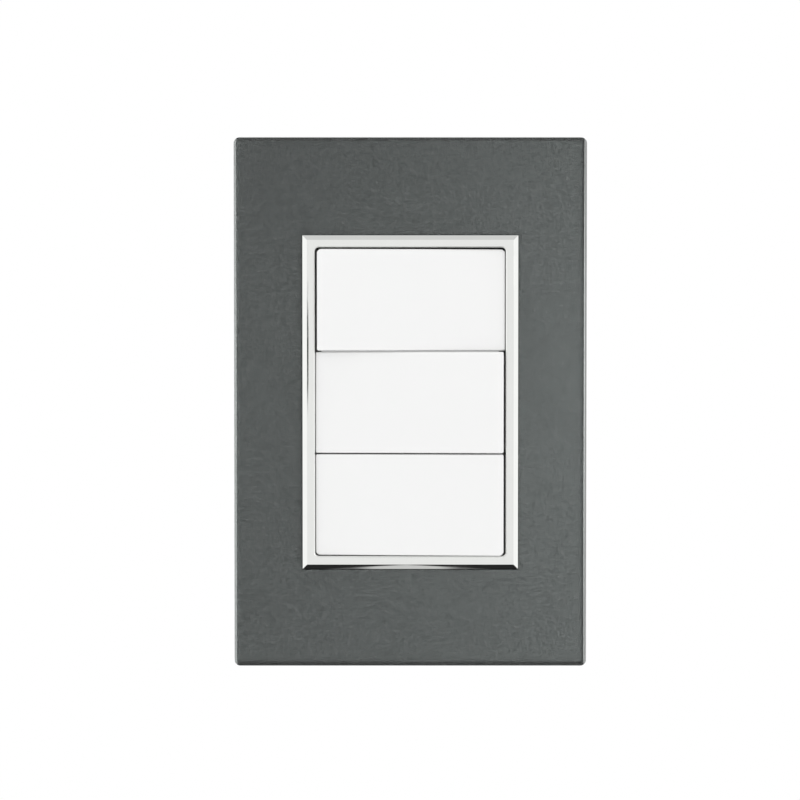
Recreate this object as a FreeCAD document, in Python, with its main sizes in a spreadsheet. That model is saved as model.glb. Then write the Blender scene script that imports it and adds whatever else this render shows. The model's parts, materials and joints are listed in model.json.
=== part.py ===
import FreeCAD, Part
import math
import os

import Sketcher

# A wall plate cover with its three rocker switches, as one snap-together set for a 4 x 2 inch box.
#
# Frame of reference: X to the right, Z up, and Y into the wall. The wall's face is y = 0, and the
# origin is midway between the two box screws. "Forward" values are distances out of the wall,
# towards -Y, and each level in the stack is the one behind it plus a thickness.

# Driving dimensions, in millimetres and degrees.
SIZES = {
    # back-painted glass plate
    "plate_wide": 80.0,
    "plate_tall": 120.0,
    "plate_corner": 1.3,
    "glass_thick": 3.2,
    "glass_arris": 0.55,
    "coat_thick": 0.1,
    "coat_inset": 0.3,
    # moulded carrier behind the glass, and the foam tape between them
    "carrier_inset": 0.8,
    "carrier_stand": 5.0,
    "carrier_wall": 1.6,
    "rim_wall": 1.5,
    "rim_gap": 0.3,
    "rib_wall": 1.0,
    "rib_deep": 1.2,
    "rib_clear": 2.35,
    "pry_wide": 9.0,
    "pry_deep": 2.2,
    "tape_thick": 0.4,
    "tape_wide": 10.0,
    "tape_margin": 2.5,
    # snap legs of the carrier, and the pawls that hold them
    "leg_inset": 4.5,
    "leg_up": 38.0,
    "leg_wide": 5.0,
    "leg_thick": 1.5,
    "leg_end_gap": 0.5,
    "tooth_deep": 0.45,
    "tooth_pitch": 1.3,
    "tooth_count": 2,
    "pawl_gap": 0.15,
    "pawl_long": 1.9,
    "pawl_slit": 0.7,
    "leg_play": 0.5,
    # bezel round the opening
    "opening_corner": 1.0,
    "band_wide": 2.95,
    "bevel_wide": 1.25,
    "lip_edge": 0.3,
    "bezel_proud": 1.2,
    "band_crown": 0.07,
    "inner_round": 0.35,
    "skirt_wall": 1.1,
    "skirt_gap": 0.25,
    "catch_proud": 0.4,
    "catch_tall": 0.75,
    "catch_wide": 6.0,
    "catch_seat": 0.05,
    # support frame on the wall box
    "frame_margin": 2.7,
    "frame_corner": 4.0,
    "frame_thick": 2.4,
    "lip_wall": 1.2,
    "lip_tall": 1.2,
    "flange_play": 0.2,
    "screw_spacing": 83.5,
    "slot_wide": 4.0,
    "slot_travel": 3.0,
    "stud_radius": 1.75,
    "neck_radius": 1.5,
    "head_radius": 3.4,
    "head_tall": 1.9,
    "stud_long": 22.0,
    "drive_wide": 0.9,
    "drive_deep": 0.9,
    # switch modules, one above the other
    "module_pitch": 23.2,
    "flange_margin": 1.0,
    "flange_thick": 1.6,
    "flange_gap": 0.1,
    "housing_wide": 38.0,
    "housing_tall": 22.2,
    "housing_deep": 21.0,
    "housing_bevel": 1.0,
    "window_play": 0.25,
    "arm_wide": 8.0,
    "arm_thick": 1.2,
    "arm_long": 6.5,
    "arm_gap": 0.1,
    "hook_proud": 0.7,
    "hook_play": 0.1,
    "ledge_thick": 1.2,
    "notch_deep": 1.1,
    # rocker keys
    "key_wide": 42.6,
    "key_gap": 0.3,
    "key_side_gap": 0.375,
    "key_end_gap": 0.4,
    "key_proud": 0.4,
    "key_deep": 6.3,
    "key_wall": 1.2,
    "key_face": 1.4,
    "key_edge": 0.35,
    "end_corner": 1.0,
    "mid_corner": 0.4,
    "key_tilt": 3.0,
    "stop_gap": 0.06,
    "stop_wide": 4.0,
    "pivot_depth": 4.3,
    "pin_radius": 0.8,
    "pin_play": 0.05,
    "ear_gap": 0.2,
    "ear_thick": 1.1,
    "ear_radius": 2.3,
    "pin_past": 0.3,
    "boss_wide": 4.0,
    "boss_long": 5.6,
    "key_rib": 0.9,
    # plunger, spring and contact lever
    "plunger_wide": 2.0,
    "plunger_play": 0.05,
    "plunger_head": 4.0,
    "spring_room": 4.0,
    "spring_wire": 0.3,
    "spring_pitch": 1.5,
    "spring_play": 0.15,
    "fulcrum_back": 5.7,
    "fulcrum_radius": 0.5,
    "fulcrum_play": 0.05,
    "lever_thick": 0.9,
    "lever_web": 0.8,
    "lever_arm": 8.2,
    "lever_wide": 5.0,
    "lever_tip_wide": 3.4,
    "lever_swing": 8.0,
    "nose_gap": 0.05,
    # contacts, terminals and their screws
    "contact_arm": 6.5,
    "contact_wide": 2.6,
    "contact_tall": 0.6,
    "contact_dome": 0.35,
    "closed_gap": 0.1,
    "strip_thick": 0.8,
    "strip_wide": 5.0,
    "strip_gap": 2.6,
    "block_wide": 6.0,
    "block_tall": 6.6,
    "block_deep": 8.0,
    "block_cover": 1.8,
    "entry_wide": 3.4,
    "entry_floor": 1.2,
    "clamp_radius": 1.5,
    "clamp_play": 0.05,
    "clamp_slot": 0.65,
    "clamp_down": 4.6,
    "cavity_play": 0.3,
    "well_play": 0.3,
}


class Size:
    """A length or angle that knows its number and the spreadsheet expression that gives it."""

    def __init__(self, value, text):
        self.value = value
        self.text = text

    def join(self, other, sign, result):
        return Size(result, f"({self.text} {sign} {as_size(other).text})")

    def __add__(self, other):
        return self.join(other, "+", self.value + as_size(other).value)

    def __radd__(self, other):
        return as_size(other) + self

    def __sub__(self, other):
        return self.join(other, "-", self.value - as_size(other).value)

    def __rsub__(self, other):
        return as_size(other) - self

    def __mul__(self, other):
        return self.join(other, "*", self.value * as_size(other).value)

    def __rmul__(self, other):
        return as_size(other) * self

    def __truediv__(self, other):
        return self.join(other, "/", self.value / as_size(other).value)

    def __neg__(self):
        return as_size(0) - self


def as_size(number):
    return number if isinstance(number, Size) else Size(float(number), repr(number))


def sine(angle):
    return Size(math.sin(math.radians(angle.value)), f"sin({angle.text})")


def cosine(angle):
    return Size(math.cos(math.radians(angle.value)), f"cos({angle.text})")


doc = FreeCAD.newDocument("WallPlateCover")
sheet = doc.addObject("Spreadsheet::Sheet", "Sizes")
for row, (alias, number) in enumerate(SIZES.items(), start=1):
    sheet.set(f"A{row}", alias.replace("_", " "))
    sheet.set(f"B{row}", str(number))
    sheet.setAlias(f"B{row}", alias)
doc.recompute()


class Sheet:
    """Gives each cell of the spreadsheet as a Size, under its alias."""

    def __getattr__(self, alias):
        return Size(SIZES[alias], f"Sizes.{alias}")


S = Sheet()

# Levels forward of the wall
frame_front = S.frame_thick
flange_front = frame_front + S.flange_thick
carrier_back = S.carrier_stand
carrier_front = carrier_back + S.carrier_wall
tape_front = carrier_front + S.tape_thick
coat_front = tape_front + S.coat_thick
glass_front = coat_front + S.glass_thick
bezel_ridge = glass_front + S.bezel_proud
key_front = bezel_ridge + S.key_proud
pivot_level = key_front - S.pivot_depth
skirt_level = key_front - S.key_deep

# Sizes that several pieces share
stack_tall = S.module_pitch * 3
opening_wide = S.key_wide + S.key_side_gap * 2
opening_tall = stack_tall - S.key_gap + S.key_end_gap * 2
window_grow = (S.skirt_wall + S.skirt_gap) * 2
cover_window_wide = opening_wide + window_grow
cover_window_tall = opening_tall + window_grow
flange_wide = S.key_wide + S.flange_margin * 2
key_tall = S.module_pitch - S.key_gap
half_key = S.key_wide / 2
key_inside = key_tall / 2 - S.key_wall
ear_outside = key_inside - S.ear_gap
ear_inside = ear_outside - S.ear_thick
pin_long = S.ear_gap + S.ear_thick + S.pin_past
arm_inside = S.housing_wide / 2 + S.arm_gap
arm_outside = arm_inside + S.arm_thick
frame_window_wide = (arm_outside + S.window_play) * 2
frame_window_tall = stack_tall - S.module_pitch + S.housing_tall + S.window_play * 2
frame_edge = S.carrier_inset + S.rim_wall + S.frame_margin
frame_wide = S.plate_wide - frame_edge * 2
frame_tall = S.plate_tall - frame_edge * 2
leg_across = frame_wide / 2 - S.leg_inset
rib_place = S.screw_spacing / 2 + S.head_radius + S.rib_clear
block_across = S.housing_wide / 2 - S.block_cover - S.block_wide / 2
tooth_reach = leg_across + S.leg_thick / 2 + S.tooth_deep

# Depths behind the wall, inside a module
fulcrum_depth = S.fulcrum_back
lever_crown = S.fulcrum_radius + S.fulcrum_play + S.lever_web
lever_front = fulcrum_depth - lever_crown
nose_reach = pivot_level + lever_front - S.nose_gap
contact_half = S.contact_wide / 2
contact_reach = lever_crown - S.lever_thick
moving_tip = S.contact_tall + S.contact_dome - contact_reach
closed_depth = S.contact_arm * sine(S.lever_swing) + moving_tip * cosine(S.lever_swing)
strip_front = fulcrum_depth + closed_depth + S.closed_gap + S.contact_tall
strip_back = strip_front + S.strip_thick
block_back = strip_front + S.block_deep
clamp_depth = strip_front + S.clamp_down
housing_back = S.housing_deep

# Heights of the three modules, and the end of each key that is pressed in at rest
MODULES = {
    "top": (S.module_pitch, "right"),
    "middle": (as_size(0), "left"),
    "bottom": (-S.module_pitch, "left"),
}

NODES = []


def bind(item, path, amount):
    item.setExpression(path, as_size(amount).text)


def new_body(label):
    body = doc.addObject("PartDesign::Body", label)
    body.Label = label
    NODES.append(body)
    return body


def new_sketch(body, name, plane, offset=0, shift=(0, 0)):
    """A sketch on one of the body's own origin planes, moved along the plane's normal and in it."""
    sketch = body.newObject("Sketcher::SketchObject", f"{body.Name}_{name}")
    support = [item for item in body.Origin.OriginFeatures if item.Role == plane][0]
    sketch.AttachmentSupport = [(support, "")]
    sketch.MapMode = "FlatFace"
    for letter, amount in zip("xyz", (shift[0], shift[1], offset)):
        bind(sketch, f"AttachmentOffset.Base.{letter}", amount)
    return sketch


def front_sketch(body, name, forward):
    """A sketch seen from the room: X to the right, Z up, at a level forward of the wall."""
    return new_sketch(body, name, "XZ_Plane", forward)


def section_sketch(body, name, height=0, shift=(0, 0)):
    """A sketch seen from above: X to the right and Y into the wall, at a height."""
    return new_sketch(body, name, "XY_Plane", height, shift)


def constrain(sketch, kind, *places, amount=None):
    if amount is None:
        sketch.addConstraint(Sketcher.Constraint(kind, *places))
        return
    number = sketch.addConstraint(Sketcher.Constraint(kind, *places, as_size(amount).value))
    bind(sketch, f"Constraints[{number}]", amount)


def fix_point(sketch, curve, end, x, y):
    constrain(sketch, "DistanceX", -1, 1, curve, end, amount=x)
    constrain(sketch, "DistanceY", -1, 1, curve, end, amount=y)


def vector(x, y):
    return FreeCAD.Vector(as_size(x).value, as_size(y).value, 0)


def draw_outline(sketch, points):
    """A closed outline of straight lines, with each corner held by its own two sizes."""
    corners = [vector(x, y) for x, y in points]
    ends = corners[1:] + corners[:1]
    first = sketch.GeometryCount
    for start, end in zip(corners, ends):
        sketch.addGeometry(Part.LineSegment(start, end))
    count = len(points)
    for step, (x, y) in enumerate(points):
        constrain(sketch, "Coincident", first + step - 1 + count * (step == 0), 2, first + step, 1)
        fix_point(sketch, first + step, 1, x, y)


def draw_box(sketch, middle, wide, tall):
    x, y = middle
    left, right = x - wide / 2, x + wide / 2
    low, high = y - tall / 2, y + tall / 2
    draw_outline(sketch, [(left, low), (right, low), (right, high), (left, high)])


def draw_arc(sketch, centre, radius, turn, quarters=1):
    """An arc of one or two quarters that starts at `turn` quarter turns from the X axis."""
    middle = vector(*centre)
    circle = Part.Circle(middle, FreeCAD.Vector(0, 0, 1), as_size(radius).value)
    start = turn * math.pi / 2
    arc = sketch.addGeometry(Part.ArcOfCircle(circle, start, start + quarters * math.pi / 2))
    fix_point(sketch, arc, 3, *centre)
    constrain(sketch, "Radius", arc, amount=radius)
    for end, place_on_circle in ((1, turn), (2, turn + quarters)):
        level = "Horizontal" if place_on_circle % 2 == 0 else "Vertical"
        constrain(sketch, level, arc, 3, arc, end)
    return arc


def join_arcs(sketch, arcs):
    """Closes an outline with a straight line from each arc's end to the next arc's start."""
    for arc, following in zip(arcs, arcs[1:] + arcs[:1]):
        start = sketch.Geometry[arc].EndPoint
        end = sketch.Geometry[following].StartPoint
        line = sketch.addGeometry(Part.LineSegment(start, end))
        constrain(sketch, "Coincident", arc, 2, line, 1)
        constrain(sketch, "Coincident", line, 2, following, 1)


def draw_rounded(sketch, wide, tall, high_corner, low_corner=None):
    """A rectangle about the origin with rounded corners; the low pair may have their own radius."""
    low_corner = low_corner or high_corner
    right, top = as_size(wide) / 2, as_size(tall) / 2
    centres = [
        (right - high_corner, top - high_corner, high_corner),
        (high_corner - right, top - high_corner, high_corner),
        (low_corner - right, low_corner - top, low_corner),
        (right - low_corner, low_corner - top, low_corner),
    ]
    join_arcs(sketch, [draw_arc(sketch, (x, y), r, turn) for turn, (x, y, r) in enumerate(centres)])


def draw_slot(sketch, middle, radius, travel):
    """A slot lying along X, round at both ends."""
    x, y = middle
    right = draw_arc(sketch, (x + travel / 2, y), radius, 3, quarters=2)
    left = draw_arc(sketch, (x - travel / 2, y), radius, 1, quarters=2)
    join_arcs(sketch, [right, left])


def draw_circle(sketch, middle, radius):
    circle = Part.Circle(vector(*middle), FreeCAD.Vector(0, 0, 1), as_size(radius).value)
    ring = sketch.addGeometry(circle)
    fix_point(sketch, ring, 3, *middle)
    constrain(sketch, "Radius", ring, amount=radius)


def feature(body, kind, name, sketch):
    item = body.newObject(f"PartDesign::{kind}", f"{body.Name}_{name}")
    item.Profile = sketch
    return item


def pad(body, name, sketch, length, backward=False, middle=False):
    """Adds material along the sketch's normal, against it, or to both sides."""
    item = feature(body, "Pad", name, sketch)
    bind(item, "Length", length)
    item.Reversed = backward
    item.Midplane = middle
    return item


def cut(body, name, sketch, length, along=False, middle=False):
    """Removes material against the sketch's normal, along it, or to both sides."""
    item = feature(body, "Pocket", name, sketch)
    bind(item, "Length", length)
    item.Reversed = along
    item.Midplane = middle
    return item


def turn(body, kind, name, sketch, axis):
    """A full revolution or groove about one of the sketch's own axes."""
    item = feature(body, kind, name, sketch)
    item.ReferenceAxis = (sketch, [axis])
    item.Angle = 360
    return item


def mirror(body, name, item, plane):
    support = [part for part in body.Origin.OriginFeatures if part.Role == plane][0]
    copy = body.newObject("PartDesign::Mirrored", f"{body.Name}_{name}")
    copy.Originals = [item]
    copy.MirrorPlane = (support, [""])
    body.Tip = copy
    return copy


def edges_where(item, test):
    """Names of the edges whose middle passes the test."""
    doc.recompute()
    names = []
    for number, edge in enumerate(item.Shape.Edges, start=1):
        middle = edge.valueAt((edge.FirstParameter + edge.LastParameter) / 2)
        if test(middle, edge):
            names.append(f"Edge{number}")
    return names


def dress(body, kind, name, item, edges, size):
    """A fillet's radius or a chamfer's width on the named edges."""
    finish = body.newObject(f"PartDesign::{kind}", f"{body.Name}_{name}")
    finish.Base = (item, edges)
    bind(finish, "Radius" if kind == "Fillet" else "Size", size)
    return finish


def near(one, other):
    return abs(one - as_size(other).value) < 1e-4


def place(body, x=0, y=0, z=0, axis=(0, 0, 1), angle=None):
    """Puts a body at its seat, turned about an axis by a bound angle."""
    if angle is not None:
        body.Placement = FreeCAD.Placement(
            FreeCAD.Vector(0, 0, 0), FreeCAD.Rotation(FreeCAD.Vector(*axis), angle.value)
        )
        bind(body, "Placement.Rotation.Angle", angle)
    for letter, amount in zip("xyz", (x, y, z)):
        bind(body, f"Placement.Base.{letter}", amount)


def make_glass_plate():
    """Sheet of glass with a window, its front edges ground to a narrow arris."""
    body = new_body("glass_plate")
    face = front_sketch(body, "face", coat_front)
    draw_rounded(face, S.plate_wide, S.plate_tall, S.plate_corner)
    sheet_glass = pad(body, "sheet", face, S.glass_thick)
    rim = edges_where(sheet_glass, lambda at, edge: near(at.y, -glass_front))
    dress(body, "Chamfer", "arris", sheet_glass, rim, S.glass_arris)
    window = front_sketch(body, "window", glass_front)
    draw_rounded(window, cover_window_wide, cover_window_tall, S.opening_corner + window_grow / 2)
    cut(body, "opening", window, S.glass_thick)


def make_colour_coat():
    """Opaque coat on the back of the glass, which gives the plate its colour."""
    body = new_body("colour_coat")
    face = front_sketch(body, "face", tape_front)
    edge = S.coat_inset * 2
    draw_rounded(face, S.plate_wide - edge, S.plate_tall - edge, S.plate_corner - S.coat_inset)
    pad(body, "layer", face, S.coat_thick)
    window = front_sketch(body, "window", coat_front)
    draw_box(window, (0, 0), cover_window_wide, cover_window_tall)
    cut(body, "opening", window, S.coat_thick)


def make_adhesive_pads():
    """Four strips of foam tape between the carrier and the coated glass."""
    body = new_body("adhesive_pads")
    face = front_sketch(body, "strips", carrier_front)
    half_wide = S.plate_wide / 2 - S.carrier_inset - S.tape_margin
    half_tall = S.plate_tall / 2 - S.carrier_inset - S.tape_margin
    for side in (-1, 1):
        draw_box(face, ((half_wide - S.tape_wide / 2) * side, 0), S.tape_wide, half_tall * 2)
        across = (half_wide - S.tape_wide - S.tape_margin) * 2
        draw_box(face, (0, (half_tall - S.tape_wide / 2) * side), across, S.tape_wide)
    pad(body, "foam", face, S.tape_thick)


def make_chrome_bezel():
    """Crowned, mitred frame round the opening, whose skirt clips through glass and carrier."""
    body = new_body("chrome_bezel")
    half_wide = opening_wide / 2
    half_tall = opening_tall / 2
    path = front_sketch(body, "path", glass_front)
    route = [(half_wide, 0), (half_wide, half_tall), (-half_wide, half_tall)]
    route += [(-half_wide, -half_tall), (half_wide, -half_tall)]
    draw_outline(path, route)
    profile = section_sketch(body, "profile")
    stock = half_wide - S.opening_corner
    skirt = half_wide + S.skirt_wall
    skirt_top = half_tall + S.skirt_wall
    outside = half_wide + S.band_wide
    shoulder = outside - S.bevel_wide
    lip = -glass_front - S.lip_edge
    shoulder_level = S.band_crown - bezel_ridge
    skirt_end = -carrier_back + S.catch_seat + S.catch_tall
    outline = [(stock, skirt_end), (skirt, skirt_end), (skirt, -glass_front), (outside, -glass_front)]
    outline += [(outside, lip), (shoulder, shoulder_level)]
    draw_band(profile, outline, S.band_crown, (stock, shoulder_level))
    band = feature(body, "AdditivePipe", "band", profile)
    band.Spine = (path, [])
    band.Transition = "Right corner"
    catch_grow = S.catch_proud + S.skirt_gap
    catches = front_sketch(body, "catches", carrier_back - S.catch_seat)
    for side in (-1, 1):
        reach = catch_grow + S.skirt_wall
        draw_box(catches, ((half_wide + reach / 2) * side, half_tall / 2), reach, S.catch_wide)
        draw_box(catches, ((half_wide + reach / 2) * side, -half_tall / 2), reach, S.catch_wide)
        draw_box(catches, (0, (half_tall + reach / 2) * side), S.catch_wide, reach)
    pad(body, "clips", catches, S.catch_tall, backward=True)
    opening = front_sketch(body, "opening", bezel_ridge)
    draw_rounded(opening, opening_wide, opening_tall, S.opening_corner)
    hole = cut(body, "through", opening, bezel_ridge + skirt_end)
    posts = edges_where(hole, lambda at, edge: near(abs(at.x), skirt) and near(abs(at.z), skirt_top))
    rounded = S.opening_corner + S.skirt_wall
    hole = dress(body, "Fillet", "skirt_corners", hole, posts, rounded)
    rim = edges_where(hole, lambda at, edge: inner_rim(at, half_wide, half_tall))
    dress(body, "Fillet", "inner_edge", hole, rim, S.inner_round)


def inner_rim(at, half_wide, half_tall):
    inside = abs(at.x) < half_wide.value + 0.01 and abs(at.z) < half_tall.value + 0.01
    return inside and at.y < -glass_front.value


def draw_band(sketch, outline, crown, end):
    """The bezel's section: straight sides, closed over the top by a shallow arc of a given rise."""
    corners = [vector(x, y) for x, y in outline]
    for start, stop in zip(corners, corners[1:]):
        sketch.addGeometry(Part.LineSegment(start, stop))
    last = len(outline) - 2
    for step in range(last):
        constrain(sketch, "Coincident", step, 2, step + 1, 1)
    half_chord = (outline[-1][0] - end[0]) / 2
    radius = half_chord * half_chord / (crown * 2) + crown / 2
    middle = FreeCAD.Vector((outline[-1][0] + end[0]).value / 2, end[1].value - crown.value, 0)
    arc = sketch.addGeometry(Part.Arc(corners[-1], middle, vector(*end)))
    high_end, low_end = (1, 2) if near(sketch.getPoint(arc, 1).x, outline[-1][0]) else (2, 1)
    close = sketch.addGeometry(Part.LineSegment(vector(*end), corners[0]))
    constrain(sketch, "Coincident", last, 2, arc, high_end)
    constrain(sketch, "Coincident", arc, low_end, close, 1)
    constrain(sketch, "Coincident", close, 2, 0, 1)
    for step, (x, y) in enumerate(outline[:-1]):
        fix_point(sketch, step, 1, x, y)
    fix_point(sketch, last, 2, *outline[-1])
    fix_point(sketch, close, 1, *end)
    constrain(sketch, "Radius", arc, amount=radius)


def make_cover_carrier():
    """Moulded tray behind the glass: rim, window, ribs, pry notch and four toothed legs."""
    body = new_body("cover_carrier")
    wide = S.plate_wide - S.carrier_inset * 2
    tall = S.plate_tall - S.carrier_inset * 2
    face = front_sketch(body, "outline", S.rim_gap)
    draw_rounded(face, wide, tall, S.plate_corner)
    pad(body, "block", face, carrier_front - S.rim_gap)
    hollow = front_sketch(body, "hollow", carrier_back)
    draw_box(hollow, (0, 0), wide - S.rim_wall * 2, tall - S.rim_wall * 2)
    cut(body, "inside", hollow, carrier_back - S.rim_gap)
    window = front_sketch(body, "window", carrier_front)
    draw_box(window, (0, 0), cover_window_wide, cover_window_tall)
    cut(body, "opening", window, S.carrier_wall)
    ribs = front_sketch(body, "ribs", carrier_back)
    for side in (-1, 1):
        draw_box(ribs, (0, rib_place * side), wide - S.rim_wall * 2, S.rib_wall)
    pad(body, "stiffeners", ribs, S.rib_deep, backward=True)
    pry = front_sketch(body, "pry", S.rim_gap)
    draw_box(pry, (0, S.rim_wall / 2 - tall / 2), S.pry_wide, S.rim_wall)
    cut(body, "pry_notch", pry, S.pry_deep, along=True)
    legs = section_sketch(body, "legs", S.leg_up)
    draw_leg(legs, 1)
    draw_leg(legs, -1)
    high_legs = pad(body, "high_legs", legs, S.leg_wide, middle=True)
    mirror(body, "low_legs", high_legs, "XY_Plane")


def draw_leg(sketch, side):
    """A leg's section: a straight inner face and ratchet teeth on the outer one."""
    inner = (leg_across - S.leg_thick / 2) * side
    outer = (leg_across + S.leg_thick / 2) * side
    crest = tooth_reach * side
    end = -S.leg_end_gap
    points = [(inner, -carrier_back), (inner, end), (outer - S.tooth_deep * side, end)]
    for tooth in range(int(S.tooth_count.value)):
        start = end - S.tooth_pitch * tooth
        points += [(crest, start - S.tooth_pitch / 2), (crest, start - S.tooth_pitch * 3 / 4)]
        points += [(outer, start - S.tooth_pitch * 3 / 4), (outer, start - S.tooth_pitch)]
    draw_outline(sketch, points + [(outer, -carrier_back)])


def make_support_frame():
    """Moulded frame that the box screws hold: module window, screw slots, lips and pawls."""
    body = new_body("support_frame")
    face = front_sketch(body, "outline", 0)
    draw_rounded(face, frame_wide, frame_tall, S.frame_corner)
    pad(body, "plate", face, S.frame_thick)
    lip = front_sketch(body, "lip", frame_front)
    draw_rounded(lip, frame_wide, frame_tall, S.frame_corner)
    edge = S.lip_wall * 2
    draw_box(lip, (0, 0), frame_wide - edge, frame_tall - edge)
    nest_wide = flange_wide + S.flange_play * 2
    nest_tall = stack_tall + S.flange_play * 2
    draw_box(lip, (0, 0), nest_wide + edge, nest_tall + edge)
    draw_box(lip, (0, 0), nest_wide, nest_tall)
    pad(body, "lips", lip, S.lip_tall)
    window = front_sketch(body, "window", frame_front)
    draw_box(window, (0, 0), frame_window_wide, frame_window_tall)
    cut(body, "opening", window, S.frame_thick)
    notches = front_sketch(body, "notches", 0)
    for height, _ in MODULES.values():
        reach = frame_window_wide + S.notch_deep * 2
        draw_box(notches, (0, height), reach, S.arm_wide + S.window_play * 2)
    cut(body, "catch_notches", notches, S.frame_thick - S.ledge_thick, along=True)
    slots = front_sketch(body, "slots", frame_front)
    for side in (-1, 1):
        draw_slot(slots, (0, S.screw_spacing / 2 * side), S.slot_wide / 2, S.slot_travel)
    cut(body, "screw_slots", slots, S.frame_thick)
    sockets = front_sketch(body, "sockets", frame_front)
    inner = leg_across - S.leg_thick / 2 - S.leg_play
    outer = tooth_reach + S.pawl_gap
    tall = S.leg_wide + S.leg_play * 2
    slits = front_sketch(body, "slits", frame_front)
    for side in (-1, 1):
        for end in (-1, 1):
            draw_box(sockets, ((inner + outer) / 2 * side, S.leg_up * end), outer - inner, tall)
            for edge_side in (-1, 1):
                height = S.leg_up * end + (tall - S.pawl_slit) / 2 * edge_side
                draw_box(slits, ((outer + S.pawl_long / 2) * side, height), S.pawl_long, S.pawl_slit)
    cut(body, "leg_sockets", sockets, S.frame_thick)
    cut(body, "pawl_slits", slits, S.frame_thick)


def make_box_screws():
    """Two slotted screws: cheese head, plain neck in the frame's slot, then the thread's body."""
    body = new_body("box_screws")
    profile = section_sketch(body, "profile", S.screw_spacing / 2)
    head = -frame_front
    top = head - S.head_tall
    points = [(0, top), (S.head_radius, top), (S.head_radius, head), (S.neck_radius, head)]
    points += [(S.neck_radius, 0), (S.stud_radius, 0), (S.stud_radius, S.stud_long)]
    points += [(0, S.stud_long)]
    draw_outline(profile, points)
    turn(body, "Revolution", "shank", profile, "V_Axis")
    slot = front_sketch(body, "slot", frame_front + S.head_tall)
    draw_box(slot, (0, S.screw_spacing / 2), S.head_radius * 2, S.drive_wide)
    cut(body, "drive", slot, S.drive_deep)
    mirror_whole(body, "XY_Plane")


def mirror_whole(body, plane):
    """Adds a second solid that mirrors the whole of the first in one of the origin planes."""
    support = [part for part in body.Origin.OriginFeatures if part.Role == plane][0]
    copy = body.newObject("PartDesign::Mirrored", f"{body.Name}_pair")
    copy.Originals = [item for item in body.Group if item.isDerivedFrom("PartDesign::FeatureAddSub")]
    copy.MirrorPlane = (support, [""])
    body.Tip = copy


def draw_capped(sketch, centre, radius, points, turn=2):
    """A closed outline: a half-round cap, on the forward side as a rule, then straight lines."""
    cap = draw_arc(sketch, centre, radius, turn, quarters=2)
    corners = [sketch.Geometry[cap].EndPoint] + [vector(x, y) for x, y in points]
    corners.append(sketch.Geometry[cap].StartPoint)
    previous = cap
    for step, (start, end) in enumerate(zip(corners, corners[1:])):
        line = sketch.addGeometry(Part.LineSegment(start, end))
        constrain(sketch, "Coincident", previous, 2, line, 1)
        if step < len(points):
            fix_point(sketch, line, 2, *points[step])
        previous = line
    constrain(sketch, "Coincident", previous, 2, cap, 1)


def side_sketch(body, name, across):
    """A sketch seen from the side: Y into the wall and Z up, at a distance from the middle."""
    return new_sketch(body, name, "YZ_Plane", across)


def make_switch_front(name, height):
    """A module's mounting flange with bearing ears, rest pads, snap arms and hold-down posts."""
    body = new_body(f"{name}_switch_front")
    place(body, z=height)
    flange = front_sketch(body, "flange", frame_front)
    draw_box(flange, (0, 0), flange_wide, S.module_pitch - S.flange_gap)
    pad(body, "plate", flange, S.flange_thick)
    ear = section_sketch(body, "ear", (ear_inside + ear_outside) / 2)
    foot = S.ear_radius * 3 / 2
    base = [(foot, -flange_front), (-foot, -flange_front)]
    draw_capped(ear, (0, -pivot_level), S.ear_radius, base)
    mirror(body, "low_ear", pad(body, "high_ear", ear, S.ear_thick, middle=True), "XY_Plane")
    bearing = section_sketch(body, "bearing")
    draw_circle(bearing, (0, -pivot_level), S.pin_radius + S.pin_play)
    cut(body, "bearings", bearing, key_inside * 2, middle=True)
    throat = front_sketch(body, "throat", flange_front)
    sweep = S.boss_wide / 2 + (pivot_level - frame_front + S.boss_long / 2) * sine(S.key_tilt)
    draw_box(throat, (0, 0), (sweep + S.window_play) * 2, S.boss_wide + S.window_play * 2)
    cut(body, "boss_throat", throat, S.flange_thick)
    rests = front_sketch(body, "rests", flange_front)
    for side in (-1, 1):
        for end in (-1, 1):
            middle = ((half_key - S.key_wall) * side, (key_inside - S.stop_wide) * end)
            draw_box(rests, middle, S.key_wall * 2, S.stop_wide)
    low_corner = half_key * sine(S.key_tilt) + (pivot_level - skirt_level) * cosine(S.key_tilt)
    pad(body, "rest_pads", rests, pivot_level - low_corner - S.stop_gap - flange_front)
    arms = front_sketch(body, "arms", frame_front)
    posts = front_sketch(body, "posts", frame_front)
    for side in (-1, 1):
        draw_box(arms, ((arm_inside + arm_outside) / 2 * side, 0), S.arm_thick, S.arm_wide)
        draw_box(posts, (block_across * side, 0), S.block_wide / 2, S.strip_wide)
    pad(body, "snap_arms", arms, frame_front + S.arm_long, backward=True)
    pad(body, "hold_down_posts", posts, frame_front + strip_front, backward=True)
    hook = section_sketch(body, "hook")
    top = -frame_front + S.ledge_thick + S.hook_play
    crest = arm_outside + S.hook_proud
    draw_outline(hook, [(arm_outside, top), (crest, top), (crest, top * 2 / 3), (arm_outside, 0)])
    mirror(body, "left_hook", pad(body, "right_hook", hook, S.arm_wide, middle=True), "YZ_Plane")


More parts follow.
